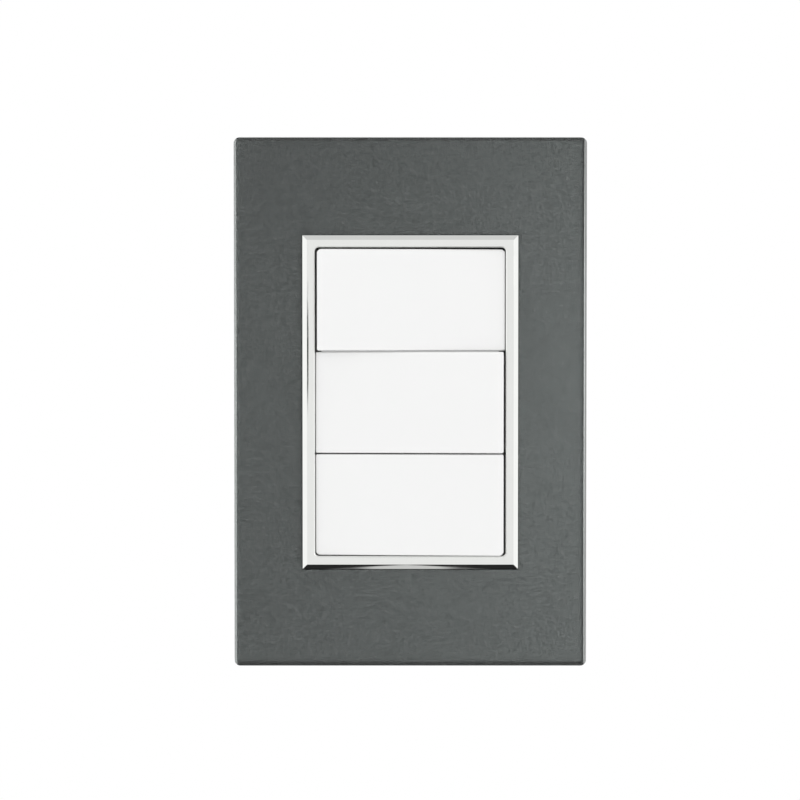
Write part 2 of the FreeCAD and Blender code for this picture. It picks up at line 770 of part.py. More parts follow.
def make_switch_housing(name, height):
    """A module's case: lever well, terminal wells, square wire entries and screw windows."""
    body = new_body(f"{name}_switch_housing")
    place(body, z=height)
    face = front_sketch(body, "outline", frame_front)
    draw_box(face, (0, 0), S.housing_wide, S.housing_tall)
    block = pad(body, "block", face, frame_front + housing_back, backward=True)
    rear = edges_where(block, lambda at, edge: near(at.y, housing_back))
    dress(body, "Chamfer", "rear_bevel", block, rear, S.housing_bevel)
    lever_well = front_sketch(body, "lever_well", frame_front)
    clear_tall = S.lever_wide + S.cavity_play * 2
    boss_tall = S.boss_wide + S.window_play * 2
    draw_box(lever_well, (0, 0), (S.lever_arm + S.cavity_play) * 2, max_size(clear_tall, boss_tall))
    cut(body, "lever_room", lever_well, frame_front + strip_front)
    trough = front_sketch(body, "trough", frame_front)
    across = (block_across + S.block_wide / 2) * 2
    draw_box(trough, (0, 0), across, S.strip_wide + S.well_play * 2)
    cut(body, "strip_trough", trough, frame_front + strip_back)
    wells = front_sketch(body, "wells", frame_front)
    entries = front_sketch(body, "entries", -housing_back)
    for side in (-1, 1):
        middle = (block_across * side, 0)
        draw_box(wells, middle, S.block_wide + S.well_play * 2, S.block_tall + S.well_play * 2)
        draw_box(entries, middle, S.entry_wide, S.entry_wide)
    cut(body, "terminal_wells", wells, frame_front + block_back)
    holes = cut(body, "wire_entries", entries, housing_back - block_back, along=True)
    mouth = edges_where(holes, lambda at, edge: near(at.y, housing_back) and entry_edge(at))
    dress(body, "Chamfer", "entry_mouths", holes, mouth, S.entry_wide / 6)
    screw_window = side_sketch(body, "screw_window", S.housing_wide / 2)
    screw_wide = (S.clamp_radius + S.well_play) * 2
    draw_box(screw_window, (clamp_depth, 0), screw_wide, screw_wide)
    wall = S.housing_wide / 2 - block_across - S.block_wide / 2
    mirror(body, "left_window", cut(body, "right_window", screw_window, wall), "YZ_Plane")


def entry_edge(at):
    reach = S.entry_wide.value / 2 + 0.01
    return abs(abs(at.x) - block_across.value) < reach and abs(at.z) < reach


def max_size(one, other):
    return one if one.value >= other.value else other


def make_rocker(name, height, pressed_end, high_corner, low_corner):
    """A key: thin shell, two pins for the bearing ears, and a ribbed boss for the plunger."""
    body = new_body(f"{name}_rocker")
    seat_on_pivot(body, height, pressed_end)
    back = S.pivot_depth - S.key_deep
    ceiling = S.pivot_depth - S.key_face
    outline = front_sketch(body, "outline", back)
    draw_rounded(outline, S.key_wide, key_tall, high_corner, low_corner)
    block = pad(body, "block", outline, S.key_deep)
    rim = edges_where(block, lambda at, edge: near(at.y, -S.pivot_depth))
    dress(body, "Fillet", "face_edge", block, rim, S.key_edge)
    hollow = front_sketch(body, "hollow", back)
    draw_box(hollow, (0, 0), S.key_wide - S.key_wall * 2, key_inside * 2)
    cut(body, "inside", hollow, S.key_deep - S.key_face, along=True)
    ribs = front_sketch(body, "ribs", ceiling)
    draw_box(ribs, (0, 0), S.key_wide - S.key_wall * 2, S.key_rib)
    pad(body, "stiffeners", ribs, ceiling, backward=True)
    boss = front_sketch(body, "boss", ceiling)
    draw_box(boss, (0, 0), S.boss_wide, S.boss_wide)
    pad(body, "plunger_boss", boss, ceiling + S.boss_long, backward=True)
    bore = front_sketch(body, "bore", -S.boss_long)
    bore_wide = S.plunger_wide + S.plunger_play * 2
    draw_box(bore, (0, 0), bore_wide, bore_wide)
    cut(body, "plunger_bore", bore, S.plunger_head + S.spring_room, along=True)
    pin = section_sketch(body, "pin", key_inside)
    draw_circle(pin, (0, 0), S.pin_radius)
    mirror(body, "low_pin", pad(body, "high_pin", pin, pin_long, backward=True), "XY_Plane")


def seat_on_pivot(body, height, pressed_end):
    """A piece of the key's group is built about the pivot, then tilted to its rest stop."""
    axis = (0, 0, 1) if pressed_end == "right" else (0, 0, -1)
    place(body, y=-pivot_level, z=height, axis=axis, angle=S.key_tilt)


def seat_on_fulcrum(body, height, pressed_end):
    """A piece of the lever's group is built about the fulcrum, and tilts against the key."""
    axis = (0, 0, -1) if pressed_end == "right" else (0, 0, 1)
    place(body, y=fulcrum_depth, z=height, axis=axis, angle=S.lever_swing)


def make_plunger(name, height, pressed_end):
    """Square pin with a round nose, which the spring pushes on to the contact lever."""
    body = new_body(f"{name}_plunger")
    seat_on_pivot(body, height, pressed_end)
    profile = section_sketch(body, "profile")
    half = S.plunger_wide / 2
    start = S.boss_long - S.plunger_head
    draw_capped(profile, (0, nose_reach - half), half, [(-half, start), (half, start)], turn=0)
    pad(body, "pin", profile, S.plunger_wide, middle=True)


def make_plunger_spring(name, height, pressed_end):
    """Compression spring between the floor of the boss's bore and the plunger's head."""
    body = new_body(f"{name}_plunger_spring")
    seat_on_pivot(body, height, pressed_end)
    wire = section_sketch(body, "wire")
    start = S.boss_long - S.plunger_head - S.spring_room + S.spring_play
    outer = S.plunger_wide / 2 - S.spring_play
    inner = outer - S.spring_wire
    end = start + S.spring_wire
    draw_outline(wire, [(inner, start), (outer, start), (outer, end), (inner, end)])
    coil = feature(body, "AdditiveHelix", "coil", wire)
    coil.ReferenceAxis = (wire, ["V_Axis"])
    coil.Mode = "pitch-height-angle"
    bind(coil, "Pitch", S.spring_pitch)
    bind(coil, "Height", S.spring_room - S.spring_play * 2 - S.spring_wire)


def make_contact_lever(name, height, pressed_end):
    """See-saw lever, tapered to both ends, with a half-round notch that sits on the fulcrum."""
    body = new_body(f"{name}_contact_lever")
    seat_on_fulcrum(body, height, pressed_end)
    outline = front_sketch(body, "outline", contact_reach)
    half_wide = S.lever_wide / 2
    half_tip = S.lever_tip_wide / 2
    points = [(-S.lever_arm, -half_tip), (0, -half_wide), (S.lever_arm, -half_tip)]
    points += [(S.lever_arm, half_tip), (0, half_wide), (-S.lever_arm, half_tip)]
    draw_outline(outline, points)
    pad(body, "plate", outline, S.lever_thick)
    notch = section_sketch(body, "notch")
    draw_circle(notch, (0, 0), S.fulcrum_radius + S.fulcrum_play)
    cut(body, "fulcrum_notch", notch, S.lever_wide * 2, middle=True)


def make_moving_contact(name, height, pressed_end):
    """Square contact with a crowned face, under one end of the lever."""
    body = new_body(f"{name}_moving_contact")
    seat_on_fulcrum(body, height, pressed_end)
    profile = section_sketch(body, "profile", shift=(S.contact_arm, 0))
    seat = -contact_reach
    rim = seat + S.contact_tall
    brow = rim + S.contact_dome * 3 / 4
    points = [(-contact_half, seat), (contact_half, seat), (contact_half, rim)]
    points += [(contact_half / 2, brow), (0, rim + S.contact_dome), (-contact_half / 2, brow)]
    draw_outline(profile, points + [(-contact_half, rim)])
    pad(body, "button", profile, S.contact_wide, middle=True)


def make_fixed_contact(name, height):
    """Flat contact on the switched terminal, under the moving one."""
    body = new_body(f"{name}_fixed_contact")
    place(body, z=height)
    face = front_sketch(body, "face", -strip_front)
    draw_box(face, (S.contact_arm, 0), S.contact_wide, S.contact_wide)
    pad(body, "button", face, S.contact_tall)


def make_terminal_block(body, side):
    """The clamp at the end of a terminal strip: wire hole from behind, screw hole from the side."""
    block = front_sketch(body, "block", -strip_front)
    draw_box(block, (block_across * side, 0), S.block_wide, S.block_tall)
    pad(body, "clamp", block, S.block_deep, backward=True)
    wire = front_sketch(body, "wire", -block_back)
    draw_box(wire, (block_across * side, 0), S.entry_wide, S.entry_wide)
    cut(body, "wire_hole", wire, S.block_deep - S.entry_floor, along=True)
    thread = side_sketch(body, "thread", (block_across + S.block_wide / 2) * side)
    draw_circle(thread, (clamp_depth, 0), S.clamp_radius + S.clamp_play)
    cut(body, "screw_hole", thread, S.block_wide / 2, along=side < 0)


def make_common_terminal(name, height):
    """Left terminal, whose strip runs to the middle and stands up as the lever's fulcrum."""
    body = new_body(f"{name}_common_terminal")
    place(body, z=height)
    strip = section_sketch(body, "strip")
    end = S.contact_arm - contact_half - S.strip_gap
    start = -block_across
    post = S.fulcrum_radius
    points = [(post, strip_front), (end, strip_front), (end, strip_back), (start, strip_back)]
    points += [(start, strip_front), (-post, strip_front)]
    draw_capped(strip, (0, fulcrum_depth), post, points)
    pad(body, "strip_bar", strip, S.strip_wide, middle=True)
    make_terminal_block(body, -1)


def make_switched_terminal(name, height):
    """Right terminal, whose strip runs in under the lever and carries the fixed contact."""
    body = new_body(f"{name}_switched_terminal")
    place(body, z=height)
    strip = section_sketch(body, "strip")
    start = S.contact_arm - contact_half
    end = block_across
    points = [(start, strip_front), (end, strip_front), (end, strip_back), (start, strip_back)]
    draw_outline(strip, points)
    pad(body, "strip_bar", strip, S.strip_wide, middle=True)
    make_terminal_block(body, 1)


def make_terminal_screws(name, height):
    """The two headless clamp screws of a module, with screwdriver slots."""
    body = new_body(f"{name}_terminal_screws")
    place(body, z=height)
    profile = section_sketch(body, "profile", shift=(0, clamp_depth))
    tip = block_across + S.entry_wide / 2
    top = block_across + S.block_wide / 2
    draw_outline(profile, [(tip, 0), (top, 0), (top, S.clamp_radius), (tip, S.clamp_radius)])
    turn(body, "Revolution", "shank", profile, "H_Axis")
    slot = side_sketch(body, "slot", top)
    draw_box(slot, (clamp_depth, 0), S.clamp_slot, S.clamp_radius * 2)
    cut(body, "drive", slot, S.clamp_slot)
    mirror_whole(body, "YZ_Plane")


def make_module(name, height, pressed_end):
    corners = {
        "top": (S.end_corner, S.mid_corner),
        "middle": (S.mid_corner, S.mid_corner),
        "bottom": (S.mid_corner, S.end_corner),
    }
    make_switch_front(name, height)
    make_switch_housing(name, height)
    make_rocker(name, height, pressed_end, *corners[name])
    make_plunger(name, height, pressed_end)
    make_plunger_spring(name, height, pressed_end)
    make_contact_lever(name, height, pressed_end)
    make_moving_contact(name, height, pressed_end)
    make_fixed_contact(name, height)
    make_common_terminal(name, height)
    make_switched_terminal(name, height)
    make_terminal_screws(name, height)


make_glass_plate()
make_colour_coat()
make_adhesive_pads()
make_chrome_bezel()
make_cover_carrier()
make_support_frame()
make_box_screws()
for module, (module_height, module_end) in MODULES.items():
    make_module(module, module_height, module_end)
doc.recompute()

faults = [item.Name for item in doc.Objects if {"Invalid", "Error"} & set(item.State)]
faults += [node.Label for node in NODES if node.Shape.isNull() or not node.Shape.isValid()]
if faults:
    raise SystemExit(f"these did not build: {faults}")

os.makedirs("parts", exist_ok=True)
for node in NODES:
    node.Shape.exportStep(f"parts/{node.Label}.step")
    box = node.Shape.BoundBox
    print(
        f"{node.Label}: {len(node.Shape.Solids)} solid, {node.Shape.Volume:.2f} mm3, "
        f"X {box.XMin:.2f}..{box.XMax:.2f}, Y {box.YMin:.2f}..{box.YMax:.2f}, "
        f"Z {box.ZMin:.2f}..{box.ZMax:.2f}"
    )
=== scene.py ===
import json
import math

import bmesh
import bpy
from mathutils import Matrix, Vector


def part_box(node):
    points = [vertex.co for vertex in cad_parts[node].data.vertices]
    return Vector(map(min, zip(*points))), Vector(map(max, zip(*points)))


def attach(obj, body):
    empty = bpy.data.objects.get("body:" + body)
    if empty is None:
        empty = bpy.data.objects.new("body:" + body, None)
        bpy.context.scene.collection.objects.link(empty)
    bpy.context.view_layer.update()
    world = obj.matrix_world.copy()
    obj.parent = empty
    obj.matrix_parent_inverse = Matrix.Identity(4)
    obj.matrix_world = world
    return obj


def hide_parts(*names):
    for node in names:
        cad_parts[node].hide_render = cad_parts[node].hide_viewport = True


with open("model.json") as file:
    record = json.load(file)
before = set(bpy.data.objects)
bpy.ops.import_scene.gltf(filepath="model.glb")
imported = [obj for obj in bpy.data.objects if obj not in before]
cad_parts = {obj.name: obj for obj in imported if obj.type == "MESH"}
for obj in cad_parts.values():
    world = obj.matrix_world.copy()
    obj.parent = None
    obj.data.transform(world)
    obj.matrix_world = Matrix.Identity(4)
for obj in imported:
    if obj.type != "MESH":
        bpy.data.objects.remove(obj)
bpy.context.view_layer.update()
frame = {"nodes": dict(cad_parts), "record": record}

# A glass wall plate with a chrome bezel and three white rocker keys, dressed for rendering.
# X is to the right, Y into the wall and Z up. Lengths are in metres, but a name that ends in _MM
# holds millimetres, as the finishes do. A pair of numbers named ..._FADE or ..._FADE_MM says
# where a change starts and where it ends, and one named ..._RANGE or ..._ROUGHNESS what it spans.


def corners(node):
    low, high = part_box(node)
    return Vector(low), Vector(high)


def rgb(red, green, blue):
    return (red, green, blue, 1.0)


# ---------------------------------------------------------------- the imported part

MM = 0.001
MODULES = ("top", "middle", "bottom")
PLATE_LOW, PLATE_HIGH = corners("glass_plate")
BEZEL_LOW, BEZEL_HIGH = corners("chrome_bezel")
MODULE_PITCH_MM = 23.2            # from one switch to the next
SCREW_LINE_MM = 41.75             # from the middle to a box screw

# ---------------------------------------------------------------- numbers of the finishes

GLASS_INDEX = 1.52
GLASS_TINTS = (rgb(0.93, 0.965, 0.95), rgb(0.95, 0.975, 0.965))
GLASS_ROUGHNESS = (0.006, 0.018)
ARRIS_MM = 0.55                   # the ground edge round the glass's front
ARRIS_BLUR_MM = 0.05
ARRIS_START_FADE_MM = (0.2, 0.25)    # at the short edges it starts this far in
ARRIS_LONG_SHARE = 0.3            # how much of the ground edge, with its painted light, shows at the long edges
ARRIS_SHORT_SHARE = 0.5
ARRIS_SHADE_AND_LIGHT_TINTS = (rgb(0.012, 0.013, 0.013), rgb(0.8, 0.82, 0.81))    # painted shade at the short edges (top and bottom), painted light at the long edges (the sides)
ARRIS_ROUGHNESS = (0.55, 0.75)

LACQUER_TINTS = (rgb(0.046, 0.056, 0.053), rgb(0.050, 0.058, 0.058))
LACQUER_ROUGHNESS = (0.22, 0.28)
FLECK_TINT = rgb(0.155, 0.163, 0.16)
FLECK_METAL = 0.77
FLECK_HEIGHT = 0.02 * MM
GRAIN_FADE = (0.3, 0.75)
SPARKLE_FADE = (0.72, 1.0)        # only the brightest flakes sparkle
SPARKLE_SHARE = 0.2
SPARKLE_HEIGHT = 0.5              # next to the grain's

CHROME_TINTS = (rgb(0.894, 0.905, 0.882), rgb(0.938, 0.948, 0.925))
CHROME_ROUGHNESS = (0.035, 0.09)  # clean, smudged
SMUDGE_FADE = (0.45, 0.75)
HAIR_HEIGHT = 0.001 * MM          # polishing marks
BEVEL_WIDE_MM = 1.25              # the bezel's outer slope
BEVEL_CROWN = 0.04 * MM           # how far polishing has rounded that slope
# painted shadow: the foot of the bezel's outer slope is darkened as a contact shadow on the glass
FOOT_SHADOW_TINT = rgb(0.05, 0.055, 0.055)
FOOT_SHADOW_FADE_MM = (0.15, 0.25)       # a painted contact shadow where that slope meets the glass

KEY_INDEX = 1.49
KEY_TINTS = (rgb(0.885, 0.887, 0.883), rgb(0.90, 0.901, 0.898))
KEY_ROUGHNESS = (0.16, 0.21)
KEY_RIPPLE = 0.02 * MM
KEY_SCATTER = 0.3                 # how much of the light goes into the plastic
KEY_SCATTER_REACH = 1.2 * MM

CASE_TINTS = (rgb(0.70, 0.70, 0.675), rgb(0.78, 0.78, 0.76))
CASE_ROUGHNESS = (0.32, 0.48)
CASE_GRAIN = 6.0                  # grains to the millimetre
CASE_GRAIN_HEIGHT = 0.1           # next to the depth of the lines
CASE_LINE_TINT = rgb(0.34, 0.34, 0.32)
CASE_LINE_SHARE = 0.55
CASE_LINE_DEPTH = 0.1 * MM
CASE_SEAM_MM = 6.0                # behind the wall's face
CASE_SEAM_FADE_MM = (0.06, 0.14)
CASE_BACK_MM = 20.5               # from here on a point is on a case's back
MARK_ACROSS_MM = 8.5              # of an ejector mark, from the middle of its switch
MARK_UP_MM = 6.0
MARK_RADIUS_MM = 1.6
MARK_FADE_MM = (0.04, 0.16)
MARK_SHARE = 0.6                  # how strong a mark is, next to the seam

SCREW_TINTS = (rgb(0.50, 0.52, 0.54), rgb(0.62, 0.63, 0.64))
SCREW_ROUGHNESS = (0.22, 0.36)
# painted shade together with dirt in the thread's grooves
GROOVE_DIRT_AND_SHADE_TINT = rgb(0.07, 0.07, 0.068)
GROOVE_FADE_MM = (1.3, 1.68)      # from the bottom of the thread's groove to its ridge
GROOVE_DIRT_AND_SHADE_DULLING = 0.5
THREAD_START_MM = 0.4             # behind the wall's face

FOAM_TINTS = (rgb(0.03, 0.03, 0.03), rgb(0.075, 0.075, 0.075))
FOAM_DEPTH = 0.12 * MM

PLASTIC_GRAIN_SHARE = 0.3         # of the change in colour; the flow marks make the rest
PLASTIC_GRAIN_HEIGHT = 0.012 * MM
PLASTIC_SHEEN = 0.08              # how far the roughness goes up and down with the grain
PLASTICS = {                      # two colours, grains to the millimetre, middle roughness
    "carrier_plastic": (rgb(0.030, 0.030, 0.031), rgb(0.048, 0.048, 0.050), 7.0, 0.5),
    "frame_plastic": (rgb(0.23, 0.24, 0.25), rgb(0.29, 0.30, 0.31), 4.0, 0.46),
    "plunger_nylon": (rgb(0.74, 0.71, 0.62), rgb(0.80, 0.78, 0.70), 5.0, 0.35),
}

METAL_MARK_HEIGHT = 0.006 * MM
METAL_SHEEN = (-0.06, 0.08)       # how far the roughness goes down and up with the marks
METALS = {                        # two colours, roughness, how the marks are stretched
    "spring_steel": (rgb(0.45, 0.45, 0.46), rgb(0.58, 0.58, 0.59), 0.28, (1, 1, 1)),
    "lever_copper": (rgb(0.70, 0.38, 0.24), rgb(0.80, 0.47, 0.32), 0.3, (1, 1, 0.1)),
    "contact_silver": (rgb(0.74, 0.73, 0.70), rgb(0.86, 0.85, 0.82), 0.25, (1, 1, 1)),
    "terminal_brass": (rgb(0.72, 0.52, 0.22), rgb(0.83, 0.65, 0.33), 0.27, (0.1, 1, 1)),
    "zinc_steel": (rgb(0.58, 0.60, 0.62), rgb(0.70, 0.71, 0.72), 0.3, (1, 0.2, 1)),
}

# ---------------------------------------------------------------- numbers of the pieces made here

COAT_WETTING = 0.01 * MM          # how far the lacquer's face lies inside the glass
SIDE_MARGIN = 0.1 * MM            # extra clear glass at the two long edges
END_OVERRUN = 0.26 * MM           # extra lacquer at the two short edges
EDGE_ZONE = 5 * MM                # this far outside the bezel, a point is on the coat's outline
BEZEL_RAIL = 2.95 * MM            # from the bezel's edge to its opening
SILL_RISE = 0.25 * MM             # how far the lower edge of the opening comes up
JAMB_SHIFT = 0.1 * MM             # how far each side of the opening comes in
SILL_ZONE = 1.05 * MM             # both fade out over this distance from the opening's edge

SCREW_HEAD_TALL = 1.9 * MM
SCREW_HEAD_ROUND = 0.3 * MM
SCREW_NECK = 1.5 * MM
SCREW_SLOT = 0.9 * MM             # its width and its depth
SLOT_REACH = 1.1                  # of the head's radius, so that the slot is open at both ends
SCREW_THREAD = frame["record"]["mounts"][0]["dims"]["stud_r_mm"] * MM
PITCH_6_32 = 25.4 * MM / 32
LATHE_STEPS = 32
HEAD_STEPS = 6                    # rows of points round a head's edge
THREAD_ROWS = 8                   # rows of points for each turn of a thread
THREAD_DEPTH = 0.6                # of the pitch
THREAD_POINT = 0.5 * MM           # how much narrower a screw's tip is
POINT_TURNS = 2                   # it narrows over this many turns
RIDGE_SLOPE = 1.4                 # steep flanks, cut off so that a ridge's crest and root are flat
RIDGE_DROP = 0.2
SCREW_CREASE = 35                 # degrees; sharper edges stay sharp

CASE_EDGE = 0.2 * MM
FRAME_EDGE = 0.15 * MM
EDGE_CREASE = 50                  # degrees; blunter edges are left as they are
WELD_GAP = 0.001 * MM

# ---------------------------------------------------------------- numbers of the stage

CAMERA_FAR = 0.45
CAMERA_RISE = 0.011
CAMERA_AIM = Vector((-0.00234, PLATE_LOW.y, 0.00054))
CAMERA_CLIP = 0.01
SENSOR_MM = 36.0
VIEW_WIDE = 0.1814                # at the plate's front

FLOOR_DROP = 0.16
FLOOR_REACH = 0.6
FLOOR_TINT = rgb(0.9, 0.9, 0.9)
FLOOR_GLOW = 0.97                 # how much of the floor's white is its own, to the eye
PAINTED_TABLE_LINE_MM = -65.0             # the middle of a painted table, seen only in reflections, in front of the wall
PAINTED_TABLE_ACROSS_FADE_MM = (60.0, 75.0)
PAINTED_TABLE_ALONG_FADE_MM = (45.0, 60.0)
PAINTED_TABLE_ROUND = 0.7                 # how bright the floor round the painted table is, in reflections
PAINTED_SHEET_SLANT = 0.35                # the painted sheet on the painted table widens towards the plate
PAINTED_SHEET_FADE_MM = (11.0, 19.0)
PAINTED_SHEET_ROUND = 0.02                # how bright the painted table round the painted sheet is
PALE_FADE_MM = (9.0, 18.0)        # the painted sheet's middle is pale and its sides are speckled
PALE = 0.6
SPECKLE_FADE = (0.4, 0.65)
SPECKLE_RANGE = (0.06, 0.24)

AMBIENT = 1.0
FRONT_FADE = (-0.35, -0.3)        # the part of the tent that faces the plate
TENT_SIDE_FADE = (0.4, 0.75)
TENT_SIDE_RANGE = (0.86, 1.0)
TENT_TOP_FADE = (0.3, 0.8)
TENT_TOP_RANGE = (1.0, 0.78)
STAND_PLACE = -0.237              # a dark oval in the tent, to the left
STAND_WIDE = 0.03
STAND_TALL = 0.032
STAND_FADE = (0.5, 1.2)
STAND_DARK = 0.93
LENS_FADE = (0.0004, 0.0008)      # a dark round one straight ahead, by the square of its radius
LENS_DARK = 0.8
DIP_FADE = (0.0, 0.18)            # light that comes through glass is weaker straight ahead
DIP_RANGE = (0.3, 1.15)
KEY_SIDE_FADE = (-0.22, 0.26)     # and stronger from the right
KEY_SIDE_RANGE = (0.46, 1.9)
KEY_LEVEL = -0.03                 # and strongest at this height
KEY_LEVEL_FADE = (0.0, 0.2)
KEY_LEVEL_RANGE = (2.3, 0.27)

SOFTBOXES = (                     # name, place, size, power in watts
    ("left_softbox", (-0.9, -0.7, 0.5), 0.7, 0.55),
    ("right_softbox", (0.8, -0.8, 0.35), 0.6, 0.7),
    ("rear_softbox", (0.3, 1.0, 0.8), 0.7, 1.2),
)


# ---------------------------------------------------------------- shader maths

class Socket:
    """An output of a shader node; arithmetic on it adds Math nodes to its tree."""

    def __init__(self, finish, output):
        self.finish = finish
        self.output = output

    def math(self, operation, other=0.0):
        return self.finish.node("ShaderNodeMath", {"operation": operation}, {0: self, 1: other})

    def __add__(self, other):
        return self.math("ADD", other)

    def __sub__(self, other):
        return self.math("SUBTRACT", other)

    def __rsub__(self, other):
        return self.finish.node("ShaderNodeMath", {"operation": "SUBTRACT"}, {0: other, 1: self})

    def __mul__(self, other):
        return self.math("MULTIPLY", other)

    def __truediv__(self, other):
        return self.math("DIVIDE", other)

    def __mod__(self, other):
        return self.math("FLOORED_MODULO", other)

    def __pow__(self, other):
        return self.math("POWER", other)

    def above(self, level):
        return self.math("GREATER_THAN", level)

    def size(self):
        return self.math("ABSOLUTE")

    def least(self, other):
        return self.math("MINIMUM", other)

    def most(self, other):
        return self.math("MAXIMUM", other)

    def mix(self, off, on):
        """One value where this socket is 0, another where it is 1."""
        return self * (on - off) + off

    def step(self, start, end, low=0.0, high=1.0):
        """Eases from low to high as the value goes from start to end."""
        settings = {"interpolation_type": "SMOOTHSTEP"}
        inputs = {0: self, 1: start, 2: end, 3: low, 4: high}
        return self.finish.node("ShaderNodeMapRange", settings, inputs)

    def fade(self, start, end):
        """Eases from 1 to 0 as the value goes from start to end."""
        return self.step(start, end, 1.0, 0.0)


class Finish:
    """One node tree, of a material or of the world, with short ways to add nodes to it."""

    def __init__(self, owner):
        owner.use_nodes = True
        self.tree = owner.node_tree
        self.tree.nodes.clear()

    def node(self, kind, settings=None, inputs=None, output=0):
        """Adds a node: its settings first, then the values or links of its sockets."""
        item = self.tree.nodes.new(kind)
        for name, setting in (settings or {}).items():
            setattr(item, name, setting)
        for key, given in (inputs or {}).items():
            if isinstance(given, Socket):
                self.tree.links.new(given.output, item.inputs[key])
            else:
                item.inputs[key].default_value = given
        return Socket(self, item.outputs[output])

    def place(self, squeeze=(1, 1, 1)):
        """The object's own coordinates in millimetres, times a squeeze per axis."""
        spot = self.node("ShaderNodeTexCoord", output="Object")
        factors = [axis / MM for axis in squeeze]
        return self.node("ShaderNodeVectorMath", {"operation": "MULTIPLY"}, {0: spot, 1: factors})

    def split(self, vector):
        item = self.node("ShaderNodeSeparateXYZ", inputs={0: vector}).output.node
        return [Socket(self, output) for output in item.outputs]

    def noise(self, scale, detail=2.0, squeeze=(1, 1, 1), roughness=0.5):
        """Soft noise with `scale` features to the millimetre."""
        inputs = {"Vector": self.place(squeeze), "Scale": scale, "Detail": detail}
        inputs["Roughness"] = roughness
        return self.node("ShaderNodeTexNoise", inputs=inputs)

    def cells(self, scale, output="Distance"):
        """Packed cells, `scale` of them to the millimetre."""
        inputs = {"Vector": self.place(), "Scale": scale}
        return self.node("ShaderNodeTexVoronoi", inputs=inputs, output=output)

    def rays(self):
        """Three masks: seen by the camera itself, in a reflection, and through glass."""
        path = self.node("ShaderNodeLightPath").output.node.outputs
        seen = Socket(self, path["Is Camera Ray"])
        glossy = Socket(self, path["Is Glossy Ray"])
        through = Socket(self, path["Is Transmission Ray"])
        return seen, glossy * (1.0 - through) * (1.0 - seen), through * (1.0 - seen)

    def blend(self, factor, one, other):
        """A colour between two, by a factor."""
        inputs = {0: factor, 6: one, 7: other}
        return self.node("ShaderNodeMix", {"data_type": "RGBA"}, inputs, output=2)

    def bump(self, height, distance, strength=1.0, under=None):
        """A normal from a height; `under` is another bump that this one lies on."""
        inputs = {"Height": height, "Distance": distance, "Strength": strength}
        if under is not None:
            inputs["Normal"] = under
        return self.node("ShaderNodeBump", inputs=inputs)

    def surface(self, **inputs):
        """The main shader; underscores in the names stand for spaces."""
        named = {name.replace("_", " "): given for name, given in inputs.items()}
        return self.node("ShaderNodeBsdfPrincipled", inputs=named)

    def either(self, share, one, other):
        """One shader where the share is 0, another where it is 1."""
        return self.node("ShaderNodeMixShader", inputs={0: share, 1: one, 2: other})

    def end(self, shader, kind="ShaderNodeOutputMaterial"):
        output = self.tree.nodes.new(kind)
        self.tree.links.new(shader.output, output.inputs["Surface"])


def new_material(name):
    material = bpy.data.materials.new(name)
    return material, Finish(material)


# ---------------------------------------------------------------- finishes

def clear_glass():
    """Float glass: clear, faintly green, with a ground front edge and a slightly uneven polish; that edge
    is painted dark as shade at the top and bottom and pale as painted light at the sides.
    """
    material, finish = new_material("clear_glass")
    haze = finish.noise(scale=0.12, detail=3)
    smear = finish.noise(scale=1.4, squeeze=(1, 1, 0.3))
    polished = finish.surface(
        Base_Color=finish.blend(haze, *GLASS_TINTS),
        Roughness=smear.mix(*GLASS_ROUGHNESS),
        IOR=GLASS_INDEX,
        Transmission_Weight=1.0,
    )
    x, y, z = finish.split(finish.place())
    from_front = y - PLATE_LOW.y / MM
    from_side = PLATE_HIGH.x / MM - x.size()
    from_end = PLATE_HIGH.z / MM - z.size()
    front = from_front.fade(ARRIS_MM - ARRIS_BLUR_MM, ARRIS_MM + ARRIS_BLUR_MM)
    long_edge = from_side.fade(ARRIS_MM - ARRIS_BLUR_MM, ARRIS_MM + ARRIS_BLUR_MM)
    short_edge = from_end.step(*ARRIS_START_FADE_MM) * from_end.fade(ARRIS_MM - ARRIS_BLUR_MM, ARRIS_MM)
    # the ground edge's colour is painted: dark shade at the top and bottom, pale light at the sides
    ground = finish.surface(
        Base_Color=finish.blend(long_edge, *ARRIS_SHADE_AND_LIGHT_TINTS),
        Roughness=smear.mix(*ARRIS_ROUGHNESS),
    )
    ground_share = front * (long_edge * ARRIS_LONG_SHARE).most(short_edge * ARRIS_SHORT_SHARE)
    finish.end(finish.either(ground_share, polished, ground))
    return material


def charcoal_lacquer():
    """Dark grey lacquer full of fine metal fleck."""
    material, finish = new_material("charcoal_lacquer")
    grain = finish.noise(scale=1.9, detail=3, roughness=0.75)
    cloud = finish.noise(scale=0.03)
    flake = finish.split(finish.cells(scale=2.6, output="Color"))[0]
    sparkle = flake.step(*SPARKLE_FADE)
    fleck = grain.step(*GRAIN_FADE) * (1.0 - SPARKLE_SHARE) + sparkle * SPARKLE_SHARE
    shader = finish.surface(
        Base_Color=finish.blend(fleck, finish.blend(cloud, *LACQUER_TINTS), FLECK_TINT),
        Metallic=FLECK_METAL,
        Roughness=grain.mix(*LACQUER_ROUGHNESS),
        Normal=finish.bump(grain + sparkle * SPARKLE_HEIGHT, FLECK_HEIGHT, strength=0.6),
    )
    finish.end(shader)
    return material


